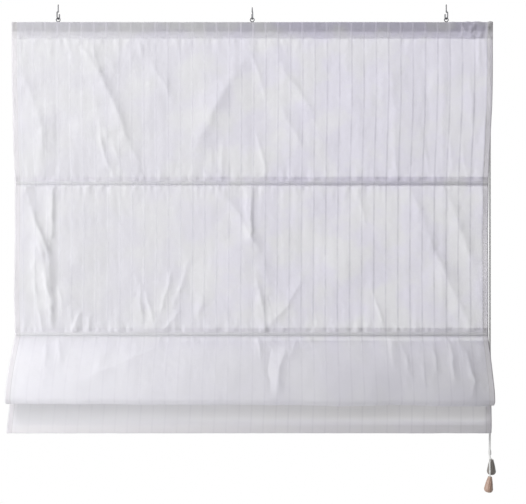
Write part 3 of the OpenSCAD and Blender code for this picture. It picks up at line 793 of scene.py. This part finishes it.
FOLD_CREASES = (
    (4, 2.5, 2.4, (43, 346), (45, 367)),
    (4, 2.5, 2.6, (57, 342), (60, 363)),
    (3.5, 7, 3, (157, 349), (128, 361), (89, 377)),
    (4, 4, 1.4, (98, 350), (101, 373)),
    (2.5, 2.5, 2.6, (257, 335), (261, 358)),
    (3, 3.5, -3.0, (271, 351), (268, 372), (270, 391)),
    (4.5, 3.5, 4.6, (285, 352), (280, 368), (277, 391)),
    (3.5, 3, 1.8, (298, 340), (290, 358)),
    (2.5, 4, 1.8, (392, 338), (395, 365)),
    (2.5, 3, 2.1, (404, 346), (411, 375)),
    (2, 2.5, 1.5, (423, 362), (425, 385)),
    (2.5, 2.4, 2.3, (435, 344), (437, 372)),
    (3.5, 2.6, 3.9, (451, 339), (454, 358), (455, 378)),
    (2.5, 3, 1.6, (462, 344), (466, 362)),
    (3.5, 2.6, 4, (468, 352), (472, 368), (474, 380), (471, 394)),
)


def billow(x, t, seed, size):
    """Broad swell of a panel held at its top and foot: seeded noise drawn out downwards and slanted, times
    a half sine of the height."""
    hold = np.sin(np.pi * np.clip(t, 0, 1)) ** 0.8
    broad = ripples(x + 0.10 * t, t * 0.35, 0.16, seed)
    return hold * size * (broad + 0.6 * ripples(x - 0.06 * t, t * 0.5, 0.075, seed + 1))


def gathers(x, z, seed):
    """Cloth that bulges between the tighter pinstripe yarns: a cosine across of the stripe spacing,
    stronger to the right, that comes and goes by seeded noise, with fine slack wrinkles drawn out
    downwards."""
    stripe = np.cos(2 * np.pi * (x - STRIPE_SHIFT) / STRIPE_STEP)
    come = np.clip(0.5 + 0.9 * ripples(x, z * 0.4, 0.05, seed), 0, 1.2)
    come = come * (0.5 + 0.4 * np.clip(x / HALF + 0.4, 0, 1))
    slack = ripples(x, z * 0.25, 0.013, seed + 1) + 0.6 * ripples(x + 0.15 * z, z * 0.5, 0.022, seed + 2)
    return -0.00030 * come * stripe + 0.00026 * slack


def puckers(x, gap, seed, size, reach):
    """Small gathers at a seam: noise along the seam that dies off with the distance from it."""
    along = ripples(x, gap * 0.2, 0.017, seed) + 0.8 * ripples(x, gap * 0.25, 0.009, seed + 1)
    return size * np.exp(-gap / reach) * along


def one_panel(x, z, top, foot, lines, seed):
    """Relief of one flat panel between two seams: swell, gathers at both seams and along the stripes,
    creases, and fine crumple, all held flat at the seams."""
    t = (top - z) / (top - foot)
    inside = np.clip(t * (1 - t) * 60, 0, 1) * (t > 0) * (t < 1)
    swell = billow(x, t, seed, 0.0036) + creases(x, z, lines, 0.0, seed + 3)
    seams = puckers(x, np.abs(z - top), seed + 10, 0.0014, 0.026)
    seams = seams + puckers(x, np.abs(z - foot), seed + 20, 0.0020, 0.026)
    return inside * (swell + seams + gathers(x, z, seed + 30) + 0.00022 * ripples(x, z, 0.012, seed + 40))


def panel_relief(x, z):
    """How far the two flat panels stand out towards the room at each point."""
    return (one_panel(x, z, HEADER_SEAM - 0.001, RODS[0] + POCKET_SEAM, FIRST_PANEL_CREASES, 11)
            + one_panel(x, z, RODS[0] - POCKET_SEAM, RODS[1] + POCKET_SEAM, SECOND_PANEL_CREASES, 61))


def header_relief(x, z):
    """Crumpled header, only outwards from the batten: fine gathers all along, and creases at both ends."""
    fine = 0.00035 * (1 + ripples(x, z * 0.4, 0.02, 91))
    end = np.clip((x - 0.56) / 0.1, 0, 1)
    crumple = creases(x, z, HEADER_CREASES, -0.01, 95) + end * 0.0020 * (ripples(x, z, 0.011, 93) + 0.35)
    return fine + np.maximum(crumple, 0)


def edge_tables(z):
    """The cloth's left and right edges by height: the panels draw in, and the fold spreads."""
    down = [-1.24, -1.13, -1.05, -0.95, -0.85, -0.64, -0.503, -0.43, -0.324, -0.22, -0.03]
    left = [-0.712, -0.704, -0.700, -0.6926, -0.6956, -0.6926, -0.6926, -0.6956, -0.6985, -0.7, -0.7]
    right = [0.692, 0.696, 0.692, 0.6892, 0.6888, 0.6883, 0.6898, 0.6927, 0.697, 0.7, 0.7]
    return np.interp(z, down, left), np.interp(z, down, right)


def columns_across():
    """Across the cloth, with the side hems turned back: the flat place, the place with hems at full width
    and with none, both as shares of the width, and how far behind."""
    inner = np.linspace(-HALF, HALF, CLOTH_COLUMNS)
    turned = SIDE_HEM * np.array([1.0, 0.66, 0.33, 0.06])
    flat = np.concatenate([-HALF - turned, inner, HALF + turned[::-1]])
    share = np.concatenate([-HALF + turned, inner, HALF - turned[::-1]]) / (2 * HALF) + 0.5
    behind = np.concatenate([[0.0006] * 3 + [0.0004], 0 * inner, [0.0004] + [0.0006] * 3])
    return flat, share, np.clip(flat / (2 * HALF) + 0.5, 0, 1), behind


def cloth_strip(line, start, relief, widen=None):
    """Cloth along a side line of (y, z) points: each row runs across between the edges at its height, and
    each point moves along the line's normal by the relief there, less the turned hem's set-back. Returns
    points, faces and the weave map of metres across and along."""
    flat, share, bare, behind = columns_across()
    slope = unit(np.gradient(line, axis=0))
    normal = np.stack([slope[:, 1], -slope[:, 0]], 1)
    left, right = edge_tables(line[:, 1])
    hemmed = np.clip((HEADER_SEAM - line[:, 1]) / 0.012 + 0.15, 0.15, 1)[:, None]
    x = left[:, None] + (right - left)[:, None] * (bare + (share - bare) * hemmed)
    lift = relief(x, np.repeat(line[:, 1:], len(share), 1)) - behind[None]
    y = line[:, :1] + normal[:, :1] * lift
    z = line[:, 1:] + normal[:, 1:] * lift
    if widen is not None:
        y, z = widen(x, y, z)
    uv = rows_of(flat[None], start + way_along(line)[:, None])
    return rows_of(x, y, z), [grid_faces(len(line), len(share))], uv


def back_strip(line, start, relief):
    """Cloth that faces away from the room: the same strip with its faces turned over."""
    points, faces, uv = cloth_strip(line, start, relief)
    return points, [f[:, ::-1] for f in faces], uv


def pocket_bow(k):
    """Side line of a panel where it bows out over a rod: a raised cosine of the height."""
    half = min(0.009, RODS[1] - FOLD_TOP - 0.0002)
    z = np.linspace(half, -half, 13)
    out = 0.5 + 0.5 * np.cos(np.pi * z / half)
    return np.stack([PANEL_Y + (-POCKET - PANEL_Y) * out, RODS[k] + z], -1)


def pocket_back(k):
    """Strip that closes a rod pocket behind: half round the rod, the sewn margin above it the wider."""
    above, below = RODS[k] + POCKET, RODS[k] - POCKET
    line = np.concatenate([
        steps((BACKING_Y, above + 0.016), (BACKING_Y, above + 0.002), 0.0025),
        turn_round((0, RODS[k]), POCKET, 115, -115, 12),
        steps((BACKING_Y, below - 0.002), (BACKING_Y, below - 0.005), 0.0025),
        [(BACKING_Y, below - 0.005)],
    ])
    # This strip's map starts past 2.8, where the cotton paints it darker as painted shade.
    return back_strip(line, POCKET_SHADE_WAY + 0.1 * k, panel_relief)


def header_line():
    """Side line of the header sleeve: from its seam round the batten's back, top and front to it again."""
    r, back, front = 0.0016, SLEEVE, -SLEEVE
    return np.concatenate([
        steps((front + 0.0009, HEADER_SEAM - 0.002), (back - 0.003, SLEEVE_LOW - 0.0012), 0.005),
        turn_round((back - r, SLEEVE_LOW + r), r, -60, 0, 4),
        steps((back, SLEEVE_LOW + 2 * r), (back, SLEEVE_TOP - r), 0.006),
        turn_round((back - r, SLEEVE_TOP - r), r, 0, 90, 5),
        steps((back - 2 * r, SLEEVE_TOP), (front + r, SLEEVE_TOP), 0.005),
        turn_round((front + r, SLEEVE_TOP - r), r, 90, 180, 5),
        steps((front, SLEEVE_TOP - 2 * r), (front, HEADER_SEAM), 0.0028),
    ])


def upper_cloth():
    """The header sleeve with the first panel, and the second panel: each bows out over the rod at its foot,
    and has the strip that closes that rod's pocket behind."""
    top = header_line()
    first = np.concatenate([
        top,
        steps((-SLEEVE, HEADER_SEAM), (PANEL_Y, RODS[0] + 0.010), 0.003),
        pocket_bow(0),
        [(PANEL_Y, RODS[0] - 0.010)],
    ])
    second = np.concatenate([
        steps((PANEL_Y, RODS[0] - 0.010), (PANEL_Y, RODS[1] + 0.010), 0.003),
        pocket_bow(1),
        [(PANEL_Y, FOLD_TOP)],
    ])
    hidden = int(np.argmax(top[:, 1])) + 3
    row = np.arange(len(first))[:, None]

    def header_and_panel(x, z):
        header = header_relief(x, z) * (z > HEADER_SEAM - 0.001)
        return np.where(row > hidden, header + panel_relief(x, z), 0.25 * header)

    pieces = []
    for k, (name, line, relief) in enumerate((("cloth_header_and_first_panel", first, header_and_panel),
                                              ("cloth_second_panel", second, panel_relief))):
        shape = joined([cloth_strip(line, PANEL_WAY * k, relief), pocket_back(k)])
        pieces.append(make_piece(name, shape, COTTON, "head", "weave"))
        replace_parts(pieces[-1], "cloth_upper")
    return pieces


def fold_line():
    """Side line of the fold: down from the second rod on a cubic curve to its front, round a half circle
    and straight up behind to the third rod."""
    t = np.linspace(0, 1, 56)[:-1, None]
    a, d = np.array((PANEL_Y, FOLD_TOP)), np.array((FOLD_FRONT, FOLD_TURN))
    b, c = a - (0.012, 0.024), d + (0, (FOLD_TOP - FOLD_TURN) / 3)
    bow = (1 - t) ** 3 * a + 3 * (1 - t) ** 2 * t * b + 3 * (1 - t) * t ** 2 * c + t ** 3 * d
    bend = turn_round((FOLD_FRONT + FOLD_BEND, FOLD_TURN), FOLD_BEND, 180, 360, 36)
    end = (THIRD_ROD_Y, RODS[2])
    back = steps(bend[-1], end, 0.004)[1:]
    return np.concatenate([bow, bend, back, [end]]), len(bow) + 18


def fold_cloth():
    """The drawn-up fold. Its front carries the creases; its left end stands a little further out. A point's
    share in the lift is how far it falls when the cloth is let down straight: its height now less its
    height then."""
    line, foot = fold_line()
    row = np.arange(len(line))[:, None]
    ahead = np.clip((foot + 8 - row) / 12, 0, 1)

    def relief(x, z):
        soft = 0.0016 * ripples(x, z, 0.11, 111) + 0.0008 * ripples(x, z, 0.05, 113)
        soft = soft * (1 + np.clip(x / HALF, 0, 1))
        front = ahead * creases(x, z, FOLD_CREASES, -0.045, 123)
        front = front + puckers(x, np.abs(FOLD_TOP - z), 121, 0.0008, 0.02)
        held = np.clip(row / 6, 0, 1) * np.clip((len(line) - 1 - row) / 6, 0, 1)
        return held * (soft + front + 0.5 * gathers(x, z, 133) + 0.0002 * ripples(x, z, 0.012, 131))

    def spread(x, y, z):
        out = np.clip((FOLD_TOP - z) / 0.15, 0, 1)
        return y - out * 0.006 * (-x / HALF) * np.clip(-y / 0.03, 0, 1), z - out * 0.004 * (x / HALF)

    shape = cloth_strip(line, FOLD_WAY, relief, spread)
    piece = make_piece("cloth_forward_fold", shape, COTTON, None, "weave")
    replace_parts(piece, "cloth_fold")
    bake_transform(piece, "head", "lower", start=(0, PANEL_Y, FOLD_TOP), end=(0, PANEL_Y, FOLD_TOP - 0.2))
    share = line[:, 1] - FOLD_TOP + way_along(line[:, 1:])
    share = np.clip(share / share[-1], 0, 1)
    across = len(shape[0]) // len(line)
    layer = piece.data.attributes["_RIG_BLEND"]
    layer.data.foreach_set("value", np.repeat(share, across).astype(np.float32))
    return piece


def lower_cloth():
    """Bottom panel from the third rod: it hangs straight, then leans out with the fold to the hem, which
    runs down the front of the bar, round its foot and up behind; a closed tube of cloth goes round the
    third rod."""
    bar_r = (BAR_HIGH.y - BAR_LOW.y) / 2 + CLOTH_GAP
    top, foot = BAR_HIGH.z + CLOTH_GAP, BAR_LOW.z - CLOTH_GAP
    bend_z = FOLD_TURN + FOLD_BEND
    front, back, seam = HEM_Y - bar_r, HEM_Y + bar_r, (HEM_Y - bar_r * 0.2, top + 0.008)
    line = np.concatenate([
        steps((THIRD_ROD_Y, RODS[2]), (PANEL_Y, RODS[2] - 0.008), 0.002),
        steps((PANEL_Y, RODS[2] - 0.008), (PANEL_Y, bend_z), 0.004),
        steps((PANEL_Y, bend_z), (HEM_Y - bar_r * 0.5, top + 0.006), 0.0035),
        steps((HEM_Y - bar_r * 0.5, top + 0.006), (front, top - bar_r), 0.002),
        steps((front, top - bar_r), (front, foot + bar_r), 0.003),
        turn_round((HEM_Y, foot + bar_r), bar_r, 180, 360, 15),
        steps((back, foot + bar_r + 0.002), (back, top - bar_r), 0.003),
        steps((back, top - bar_r), seam, 0.002),
        [seam],
    ])
    row = np.arange(len(line))[:, None]
    held = np.clip(row / 8, 0, 1) * np.clip((len(line) - 1 - row) / 8, 0, 1)

    def relief(x, z):
        soft = 0.0018 * ripples(x, z, 0.13, 141) * np.clip((z - top) / 0.05, 0, 1)
        return held * (soft + 0.0003 * ripples(x, z * 0.5, 0.02, 143) + 0.0003 * ripples(x, z, 0.05, 145))

    tuck = back_strip(turn_round((0, RODS[2]), POCKET, 180, -180, 26), 0.2,
                      lambda x, z: 0.00025 * ripples(x, z, 0.016, 101))
    shape = joined([cloth_strip(line, BOTTOM_WAY, relief), tuck])
    piece = make_piece("cloth_bottom_panel", shape, COTTON, "lower", "weave")
    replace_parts(piece, "cloth_lower")
    return piece


def stitching(name, z, plane, relief):
    """Sewing thread along a seam: it rises out of the cloth and sinks into it as a cosine along the seam.
    The cloth stands out from a plane by its relief."""
    left, right = edge_tables(np.array([z]))
    x = np.arange(left[0] + 0.004, right[0] - 0.004, 0.0009)
    y = plane - relief(x, np.full(x.shape, z)) - 0.00008 - 0.00026 * np.cos(2 * np.pi * x / 0.0036)
    thread = tube(np.stack([x, y, np.full(len(x), z)], 1), 0.00022, (0, 0, 1), 5)
    return make_piece(name, thread, THREAD, "head", "wrap")


def sew():
    """The cloth with its seams."""
    (first, second), fold, bottom = upper_cloth(), fold_cloth(), lower_cloth()
    header = stitching("header_stitching", HEADER_SEAM + 0.0015, -SLEEVE, header_relief)
    pockets = [[stitching(f"pocket_{k + 1}_stitching_{side}", RODS[k] + gap, PANEL_Y, panel_relief)
                for side, gap in (("above", 0.0052), ("below", -0.0052))] for k in (0, 1)]


sew()

# Finishes of the solids that stay


def dress(names, material):
    """Give a finish to every face of these solids."""
    for name in names:
        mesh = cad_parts[name].data
        mesh.materials.clear()
        mesh.materials.append(material)


dress([f"hanging_eye_{w}" for w in WAYS] + [f"cord_eye_{w}" for w in WAYS] + ["cord_outlet"], STEEL)
dress(["rod_1", "rod_2", "rod_3"], glass_fibre())
dress([f"ring_{k}_{w}" for k in (1, 2, 3) for w in WAYS], ring_plastic())
# The batten's finish is dark grey, which darkens the header band that covers it.
dress(["top_batten"], planed_pine("dark_grey_batten", tint(0.33, 0.32, 0.32), tint(0.20, 0.19, 0.19)))
dress(["bottom_bar"], planed_pine("whitened_bar", tint(0.90, 0.895, 0.885), tint(0.80, 0.79, 0.77)))

# Room

FLOOR_Z = -1.9
SURROUND = 0.19
LAMPS = (
    ("window_behind", (0.95, 2.05, -0.25), (0.5, 0, -0.45), (1.8, 1.5), 30),
    ("left_key", (-1.9, -1.6, 0.9), (-0.2, 0, -0.9), (2.0, 2.0), 74),
    ("left_side", (-2.2, -0.9, -1.3), (-0.2, 0, -0.95), (1.2, 1.6), 40),
    ("ceiling_light", (0.6, -1.3, 1.4), (0.4, 0, -0.9), (2.0, 1.4), 14.5),
    ("low_glow", (-0.5, -1.1, -1.62), (-0.1, 0, -1.2), (1.8, 0.3), 1.6),
)


def lay_floor():
    """Pale round floor well below the blind: a disc of rings, faded out towards its rim."""
    f = Finish("pale_floor")
    x, y, z = f.place()
    grain = f.noise(x, y, z, 4.0, 30.0)
    tone = f.mix(grain, tint(0.90, 0.90, 0.90), tint(0.93, 0.93, 0.93))
    surface = f.add("ShaderNodeBsdfPrincipled", None, {"Base Color": tone, "Roughness": 0.7})
    clear = f.add("ShaderNodeBsdfTransparent")
    rim = ((x ** 2.0 + y ** 2.0) ** 0.5).ease(0.8, 1.25)
    rings, sides = 24, 72
    r = np.linspace(0.02, 1.3, rings)[:, None]
    angle = round_angles(sides)[None]
    points = rows_of(r * np.cos(angle), r * np.sin(angle), FLOOR_Z)
    faces = [grid_faces(rings, sides, True), np.arange(sides)[None]]
    floor = make_piece("pale_floor", (points, faces, None), f.done(f.blend(rim, surface, clear)))


def hang_lamp(name, at, towards, size, power):
    """Area lamp that faces a point: it is tipped by the angle between straight down and its aim, then
    turned to the aim's compass direction."""
    data = bpy.data.lights.new(name, "AREA")
    data.shape = "RECTANGLE"
    data.size, data.size_y = size
    data.energy = power
    lamp = bpy.data.objects.new(name, data)
    lamp.location = at
    x, y, z = np.subtract(towards, at)
    lamp.rotation_euler = (math.atan2(math.hypot(x, y), -z), 0, math.atan2(-x, y))
    lamp.visible_camera = False
    scene.collection.objects.link(lamp)


def light_room():
    """White surround for the eye, for gloss and through clear things, a softer one for the light and
    through cloth, a broad lamp behind the cloth, soft ones from the upper left and left of the room, and
    weak ones above and low in front."""
    f = Finish("white_room", bpy.data.worlds)
    rays = f.add("ShaderNodeLightPath").socket.node.outputs
    eye, gloss, clear, cloth = (Value(f, rays[f"Is {kind} Ray"])
                                for kind in ("Camera", "Glossy", "Transmission", "Diffuse"))
    soft = f.add("ShaderNodeBackground", None, {"Color": (0.98, 0.985, 1, 1), "Strength": SURROUND})
    white = f.add("ShaderNodeBackground", None, {"Color": (1, 1, 1, 1), "Strength": 1.0})
    scene.world = f.done(f.blend(eye.larger(gloss).larger(clear - cloth), soft, white), "World")
    for lamp in LAMPS:
        hang_lamp(*lamp)


lay_floor()
light_room()
scene.view_settings.view_transform = "Standard"
